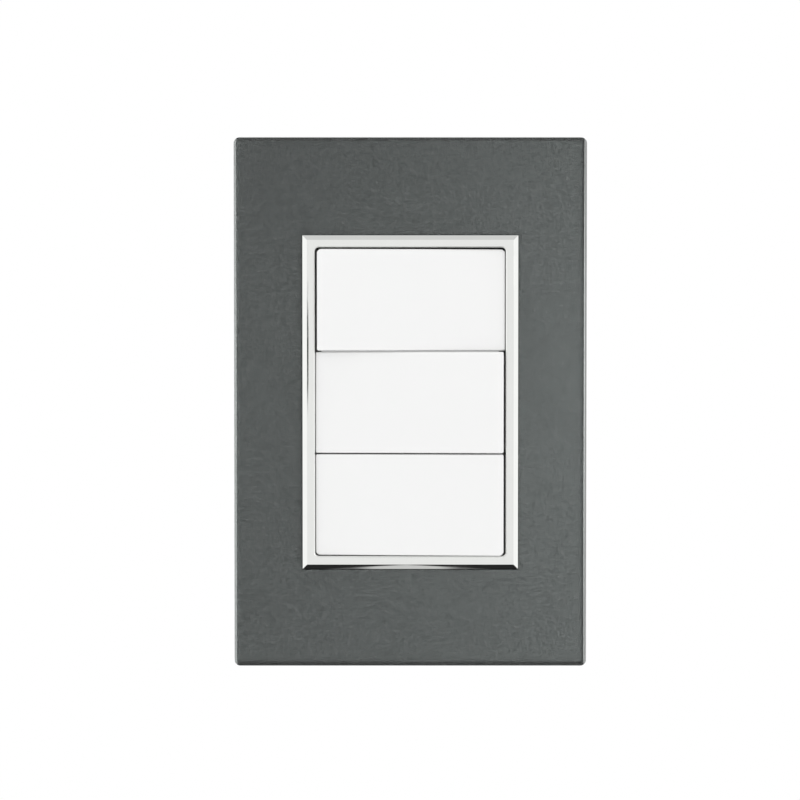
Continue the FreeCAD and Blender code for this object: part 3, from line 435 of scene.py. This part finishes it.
def bright_chrome():
    """Chrome plating with polishing marks, faint smudges and a painted contact shadow at its foot."""
    material, finish = new_material("bright_chrome")
    hairs = finish.noise(scale=6.0, detail=4, squeeze=(1, 1, 0.06))
    smudge = finish.noise(scale=0.25, detail=3)
    x, _, z = finish.split(finish.place())
    inset = (BEZEL_HIGH.x / MM - x.size()).least(BEZEL_HIGH.z / MM - z.size())
    across_bevel = (inset / BEVEL_WIDE_MM).least(1.0) * 2.0 - 1.0
    crown = finish.bump(1.0 - across_bevel ** 2, BEVEL_CROWN)
    plating = finish.blend(smudge, *CHROME_TINTS)
    shader = finish.surface(
        # painted shadow: the lowest part of the outer slope is darkened as a contact shadow on the glass
        Base_Color=finish.blend(inset.fade(*FOOT_SHADOW_FADE_MM), plating, FOOT_SHADOW_TINT),
        Metallic=1.0,
        Roughness=smudge.step(*SMUDGE_FADE, *CHROME_ROUGHNESS),
        Normal=finish.bump(hairs, HAIR_HEIGHT, strength=0.35, under=crown),
    )
    finish.end(shader)
    return material


def white_key_plastic():
    """Glossy white polycarbonate of the keys, with a trace of moulding ripple."""
    material, finish = new_material("white_key_plastic")
    ripple = finish.noise(scale=0.08)
    tooth = finish.noise(scale=5.0)
    shader = finish.surface(
        Base_Color=finish.blend(ripple, *KEY_TINTS),
        Roughness=tooth.mix(*KEY_ROUGHNESS),
        IOR=KEY_INDEX,
        Subsurface_Weight=KEY_SCATTER,
        Subsurface_Radius=(1.0, 1.0, 1.0),
        Subsurface_Scale=KEY_SCATTER_REACH,
        Normal=finish.bump(ripple, KEY_RIPPLE, strength=0.3),
    )
    finish.end(shader)
    return material


def moulding_marks(finish, grain_scale):
    """The grain of a moulded plastic, and that grain together with the plastic's flow marks."""
    grain = finish.noise(grain_scale, detail=4, roughness=0.65)
    flow = finish.noise(scale=0.09)
    return grain, flow * (1.0 - PLASTIC_GRAIN_SHARE) + grain * PLASTIC_GRAIN_SHARE


def moulded(name, dark, light, grain_scale, roughness):
    """Moulded plastic with a spark-eroded grain."""
    material, finish = new_material(name)
    grain, marks = moulding_marks(finish, grain_scale)
    shader = finish.surface(
        Base_Color=finish.blend(marks, dark, light),
        Roughness=grain.mix(roughness - PLASTIC_SHEEN, roughness + PLASTIC_SHEEN),
        Normal=finish.bump(grain, PLASTIC_GRAIN_HEIGHT, strength=0.7),
    )
    finish.end(shader)
    return material


def case_plastic():
    """The white switch cases: grain, a seam round the case and ejector marks on its back."""
    material, finish = new_material("switch_case_plastic")
    grain, marks = moulding_marks(finish, CASE_GRAIN)
    x, y, z = finish.split(finish.place())
    seam = (y - CASE_SEAM_MM).size().fade(*CASE_SEAM_FADE_MM)
    from_middle = (z + MODULE_PITCH_MM * 1.5) % MODULE_PITCH_MM - MODULE_PITCH_MM / 2
    across = x.size() - MARK_ACROSS_MM
    up = from_middle.size() - MARK_UP_MM
    from_mark = (across ** 2 + up ** 2) ** 0.5
    ejector_marks = (from_mark - MARK_RADIUS_MM).size().fade(*MARK_FADE_MM) * y.above(CASE_BACK_MM)
    lines = seam.most(ejector_marks * MARK_SHARE)
    body = finish.blend(marks, *CASE_TINTS)
    shader = finish.surface(
        Base_Color=finish.blend(lines * CASE_LINE_SHARE, body, CASE_LINE_TINT),
        Roughness=grain.mix(*CASE_ROUGHNESS),
        Normal=finish.bump(grain * CASE_GRAIN_HEIGHT - lines, CASE_LINE_DEPTH, strength=0.7),
    )
    finish.end(shader)
    return material


def threaded_steel():
    """Zinc-plated screws: bright ridges, and dull grey in the thread's grooves, painted shade together
    with dirt.
    """
    material, finish = new_material("threaded_steel")
    stain = finish.noise(scale=0.6, detail=3)
    marks = finish.noise(scale=4.0, detail=4, squeeze=(1, 0.2, 1), roughness=0.6)
    x, y, z = finish.split(finish.place())
    radius = (x ** 2 + (z.size() - SCREW_LINE_MM) ** 2) ** 0.5
    # painted shade and dirt: the thread's grooves are darker and less metallic
    groove_dirt_and_shade = radius.fade(*GROOVE_FADE_MM) * y.above(THREAD_START_MM)
    shader = finish.surface(
        Base_Color=finish.blend(groove_dirt_and_shade, finish.blend(stain, *SCREW_TINTS), GROOVE_DIRT_AND_SHADE_TINT),
        Metallic=1.0 - groove_dirt_and_shade * GROOVE_DIRT_AND_SHADE_DULLING,
        Roughness=marks.mix(*SCREW_ROUGHNESS),
        Normal=finish.bump(marks, METAL_MARK_HEIGHT, strength=0.5),
    )
    finish.end(shader)
    return material


def foam():
    """Closed-cell foam tape."""
    material, finish = new_material("foam_tape")
    cell = finish.cells(scale=2.2)
    shader = finish.surface(
        Base_Color=finish.blend(cell, *FOAM_TINTS),
        Roughness=0.9,
        Normal=finish.bump(cell, FOAM_DEPTH, strength=0.8),
    )
    finish.end(shader)
    return material


def worked_metal(name, dark, light, roughness, stretch):
    """Bare or plated metal with drawing or stamping marks along one direction."""
    material, finish = new_material(name)
    marks = finish.noise(scale=4.0, detail=5, squeeze=stretch, roughness=0.6)
    stain = finish.noise(scale=0.6, detail=3)
    least, most = METAL_SHEEN
    shader = finish.surface(
        Base_Color=finish.blend(stain, dark, light),
        Metallic=1.0,
        Roughness=marks.mix(roughness + least, roughness + most),
        Normal=finish.bump(marks, METAL_MARK_HEIGHT, strength=0.5),
    )
    finish.end(shader)
    return material


MATERIALS = {
    "plate_glass": clear_glass(),
    "charcoal_coat": charcoal_lacquer(),
    "foam_tape": foam(),
    "chrome_trim": bright_chrome(),
    "switch_case_plastic": case_plastic(),
    "key_white": white_key_plastic(),
    **{slot: moulded(slot, *numbers) for slot, numbers in PLASTICS.items()},
    **{slot: worked_metal(slot, *numbers) for slot, numbers in METALS.items()},
}
THREADED_STEEL = threaded_steel()


def dress_nodes():
    """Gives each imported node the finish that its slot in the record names."""
    for part in frame["record"]["subparts"]:
        node = frame["nodes"][part["node"]]
        for slot in node.material_slots:
            slot.material = MATERIALS[part["material_slot"]]


dress_nodes()


# ---------------------------------------------------------------- pieces made here

def new_object(name, data):
    item = bpy.data.objects.new(name, data)
    bpy.context.scene.collection.objects.link(item)
    return item


def dress(item, material):
    item.data.materials.clear()
    item.data.materials.append(material)


def stand_in_for(node, name, body, slot):
    """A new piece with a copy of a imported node's mesh, to be refined in that node's place."""
    piece = new_object(name, frame["nodes"][node].data.copy())
    dress(piece, MATERIALS[slot])
    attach(piece, body)
    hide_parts(node)
    return piece


def lay_coat_on_glass():
    """The lacquer wets the glass, so its face lies a hair inside the glass's back."""
    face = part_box("colour_coat")[0][1]
    lacquer = stand_in_for("colour_coat", "colour_coat_on_glass", "cover", "charcoal_coat")
    for vertex in lacquer.data.vertices:
        if abs(vertex.co.y - face) < COAT_WETTING:
            vertex.co.y -= COAT_WETTING
        if abs(vertex.co.x) > BEZEL_HIGH.x + EDGE_ZONE:
            vertex.co.x -= math.copysign(SIDE_MARGIN, vertex.co.x)
        if abs(vertex.co.z) > BEZEL_HIGH.z + EDGE_ZONE:
            vertex.co.z += math.copysign(END_OVERRUN, vertex.co.z)


def seat_keys_on_bezel():
    """The keys have little play in the opening: its lower edge comes up and its sides come in."""
    sill = BEZEL_LOW.z + BEZEL_RAIL
    jamb = BEZEL_HIGH.x - BEZEL_RAIL
    bezel = stand_in_for("chrome_bezel", "chrome_bezel_seated", "cover", "chrome_trim")
    for vertex in bezel.data.vertices:
        x, _, z = vertex.co
        vertex.co.z += SILL_RISE * max(0.0, 1.0 - abs(z - sill) / SILL_ZONE)
        vertex.co.x -= math.copysign(JAMB_SHIFT * max(0.0, 1.0 - abs(abs(x) - jamb) / SILL_ZONE), x)


def lathe(mesh, profile, centre):
    """Turns (radius, y) points about a line along Y; a radius may be a function of the angle."""
    rings = []
    for radius, y in profile:
        ring = []
        for step in range(LATHE_STEPS):
            angle = math.tau * step / LATHE_STEPS
            reach = radius(angle) if callable(radius) else radius
            spot = (centre[0] + reach * math.cos(angle), y, centre[1] + reach * math.sin(angle))
            ring.append(mesh.verts.new(spot))
        rings.append(ring)
    for ring, following in zip(rings, rings[1:]):
        for step in range(LATHE_STEPS):
            after = (step + 1) % LATHE_STEPS
            mesh.faces.new((ring[step], following[step], following[after], ring[after]))
    mesh.faces.new(rings[0])
    mesh.faces.new(reversed(rings[-1]))


def thread_profile(start, end, crest, pitch):
    """(radius, y) points of a thread whose ridge climbs with the angle and fades at both ends."""
    root = crest - THREAD_DEPTH * pitch
    rows = round((end - start) / pitch * THREAD_ROWS)

    def at(y):
        fade = min(1.0, (y - start) / pitch, (end - y) / pitch)
        tip = crest - THREAD_POINT * max(0.0, 1 - (end - y) / (POINT_TURNS * pitch))

        def radius(angle):
            turn = (y / pitch - angle / math.tau) % 1.0
            ridge = min(1.0, max(0.0, (1 - abs(2 * turn - 1)) * RIDGE_SLOPE - RIDGE_DROP))
            return min(tip, root + (crest - root) * ridge * fade)
        return radius

    levels = [start + (end - start) * row / rows for row in range(rows + 1)]
    return [(at(y), y) for y in levels]


def rounded_head(radius, top, under, rounding):
    """(radius, y) points of a cheese head with a rounded upper edge."""
    points = [(radius - rounding, top)]
    for step in range(1, HEAD_STEPS + 1):
        angle = math.pi / 2 * step / HEAD_STEPS
        points.append((radius - rounding * (1 - math.sin(angle)), top + rounding * (1 - math.cos(angle))))
    return points + [(radius, under)]


def solid_object(name, mesh):
    bmesh.ops.recalc_face_normals(mesh, faces=mesh.faces)
    shape = bpy.data.meshes.new(name)
    mesh.to_mesh(shape)
    mesh.free()
    return new_object(name, shape)


def block_object(name, low, high):
    mesh = bmesh.new()
    bmesh.ops.create_cube(mesh, size=1.0)
    for vertex in mesh.verts:
        vertex.co = [a + (b - a) * (part + 0.5) for a, b, part in zip(low, high, vertex.co)]
    return solid_object(name, mesh)


def cut_away(item, cutter):
    """Takes the cutter out of a piece for good, then deletes the cutter."""
    hole = item.modifiers.new("cut", "BOOLEAN")
    hole.operation = "DIFFERENCE"
    hole.solver = "EXACT"
    hole.object = cutter
    view = bpy.context.evaluated_depsgraph_get()
    result = bpy.data.meshes.new_from_object(item.evaluated_get(view))
    item.modifiers.clear()
    item.data = result
    bpy.data.objects.remove(cutter)


def build_box_screw(name, low, high, side):
    """One 6-32 screw: cheese head with a driver slot, plain neck and rolled thread."""
    radius = high.x
    centre = (0.0, (high.z - radius) * side)
    under = low.y + SCREW_HEAD_TALL
    mesh = bmesh.new()
    head = rounded_head(radius, low.y, under, SCREW_HEAD_ROUND)
    lathe(mesh, head + [(SCREW_NECK, under), (SCREW_NECK, PITCH_6_32)], centre)
    screw = solid_object(name, mesh)
    slot_low = (-radius * SLOT_REACH, low.y - MM, centre[1] - SCREW_SLOT / 2)
    slot_high = (radius * SLOT_REACH, low.y + SCREW_SLOT, centre[1] + SCREW_SLOT / 2)
    cut_away(screw, block_object("slot_cutter", slot_low, slot_high))
    mesh = bmesh.new()
    mesh.from_mesh(screw.data)
    lathe(mesh, thread_profile(0.0, high.y, SCREW_THREAD, PITCH_6_32), centre)
    mesh.to_mesh(screw.data)
    mesh.free()
    screw.data.shade_smooth()
    screw.data.set_sharp_from_angle(angle=math.radians(SCREW_CREASE))
    dress(screw, THREADED_STEEL)
    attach(screw, "root")
    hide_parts("box_screws")


def mould(node, body, slot, width):
    """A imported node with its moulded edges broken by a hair, so that they catch the light."""
    piece = stand_in_for(node, f"{node}_moulded", body, slot)
    weld = piece.modifiers.new("weld", "WELD")
    weld.merge_threshold = WELD_GAP
    bevel = piece.modifiers.new("edge", "BEVEL")
    bevel.width = width
    bevel.segments = 2
    bevel.limit_method = "ANGLE"
    bevel.angle_limit = math.radians(EDGE_CREASE)
    bevel.use_clamp_overlap = True
    bevel.harden_normals = True


lay_coat_on_glass()
seat_keys_on_bezel()
for screw_name, screw_side in (("upper_box_screw", 1), ("lower_box_screw", -1)):
    build_box_screw(screw_name, *corners("box_screws"), screw_side)
for module in MODULES:
    mould(f"{module}_switch_housing", "root", "switch_case_plastic", CASE_EDGE)
mould("support_frame", "root", "frame_plastic", FRAME_EDGE)
mould("cover_carrier", "cover", "carrier_plastic", FRAME_EDGE)


# ---------------------------------------------------------------- stage, light and camera

def floor_white_painted_reflection():
    """White to the eye; for reflections only, a painted reflection of a dark table before the plate, with
    a sheet on it.
    """
    material, finish = new_material("floor_white_painted_reflection")
    lit = finish.node("ShaderNodeBsdfDiffuse", inputs={"Color": FLOOR_TINT})
    seen, mirrored, _ = finish.rays()
    across, along, _ = finish.split(finish.place())
    out = along - PAINTED_TABLE_LINE_MM
    painted_table = across.size().fade(*PAINTED_TABLE_ACROSS_FADE_MM) * out.size().fade(*PAINTED_TABLE_ALONG_FADE_MM)
    speckle = finish.noise(scale=0.9, detail=3, roughness=0.7).step(*SPECKLE_FADE, *SPECKLE_RANGE)
    pale = across.size().fade(*PALE_FADE_MM).mix(speckle, PALE)
    painted_sheet = (across.size() - out * PAINTED_SHEET_SLANT).fade(*PAINTED_SHEET_FADE_MM).mix(PAINTED_SHEET_ROUND, pale)
    # painted reflection: reflections see the painted table and sheet, the camera sees plain white
    shown = seen.mix(painted_table.mix(PAINTED_TABLE_ROUND, painted_sheet), 1.0)
    grey = finish.blend(shown, rgb(0, 0, 0), rgb(1, 1, 1))
    glow = finish.node("ShaderNodeEmission", inputs={"Color": grey})
    finish.end(finish.either(seen * FLOOR_GLOW + mirrored, lit, glow))
    return material


def build_floor():
    """A wide pale floor well below the plate."""
    shape = bpy.data.meshes.new("floor")
    level = PLATE_LOW.z - FLOOR_DROP
    points = [(x * FLOOR_REACH, y * FLOOR_REACH, level) for x, y in ((-1, -1), (1, -1), (1, 1), (-1, 1))]
    shape.from_pydata(points, [], [(0, 1, 2, 3)])
    floor = new_object("floor", shape)
    dress(floor, floor_white_painted_reflection())


def build_world():
    """White to the eye; for reflections, a bright tent with a darker top and two dark spots."""
    world = bpy.data.worlds.new("studio")
    bpy.context.scene.world = world
    finish = Finish(world)
    seen, mirrored, through = finish.rays()
    across, along, up = finish.split(finish.node("ShaderNodeTexCoord", output="Generated"))
    front = along.fade(*FRONT_FADE)
    tent = across.size().step(*TENT_SIDE_FADE, *TENT_SIDE_RANGE) * up.step(*TENT_TOP_FADE, *TENT_TOP_RANGE)
    stand = ((across - STAND_PLACE) / STAND_WIDE) ** 2 + (up / STAND_TALL) ** 2
    shadow = stand.step(*STAND_FADE, STAND_DARK, 0.0) * front
    lens = (across ** 2 + up ** 2).step(*LENS_FADE, LENS_DARK, 0.0) * front
    reflected = tent * (1.0 - shadow) * (1.0 - lens)
    middle_dip = across.size().step(*DIP_FADE, *DIP_RANGE)
    from_right = across.step(*KEY_SIDE_FADE, *KEY_SIDE_RANGE)
    key_light = from_right * (up - KEY_LEVEL).size().step(*KEY_LEVEL_FADE, *KEY_LEVEL_RANGE)
    strength = mirrored.mix(through.mix(AMBIENT, key_light * middle_dip), reflected)
    strength = seen.mix(strength, 1.0)
    glow = finish.node("ShaderNodeBackground", inputs={"Color": rgb(1, 1, 1), "Strength": strength})
    finish.end(glow, "ShaderNodeOutputWorld")


def add_softbox(name, spot, size, power):
    """A square area light aimed at the middle of the plate."""
    lamp = bpy.data.lights.new(name, "AREA")
    lamp.shape = "SQUARE"
    lamp.size = size
    lamp.energy = power
    holder = new_object(name, lamp)
    holder.location = spot
    holder.rotation_euler = (-Vector(spot)).to_track_quat("-Z", "Y").to_euler()


def build_camera():
    camera = bpy.data.cameras.new("camera")
    camera.sensor_width = SENSOR_MM
    camera.lens = SENSOR_MM * CAMERA_FAR / VIEW_WIDE
    camera.clip_start = CAMERA_CLIP
    holder = new_object("camera", camera)
    holder.location = CAMERA_AIM + Vector((0, -CAMERA_FAR, CAMERA_RISE))
    holder.rotation_euler = (CAMERA_AIM - holder.location).to_track_quat("-Z", "Y").to_euler()
    bpy.context.scene.camera = holder


build_floor()
build_world()
for softbox in SOFTBOXES:
    add_softbox(*softbox)
build_camera()
bpy.context.scene.view_settings.view_transform = "Standard"
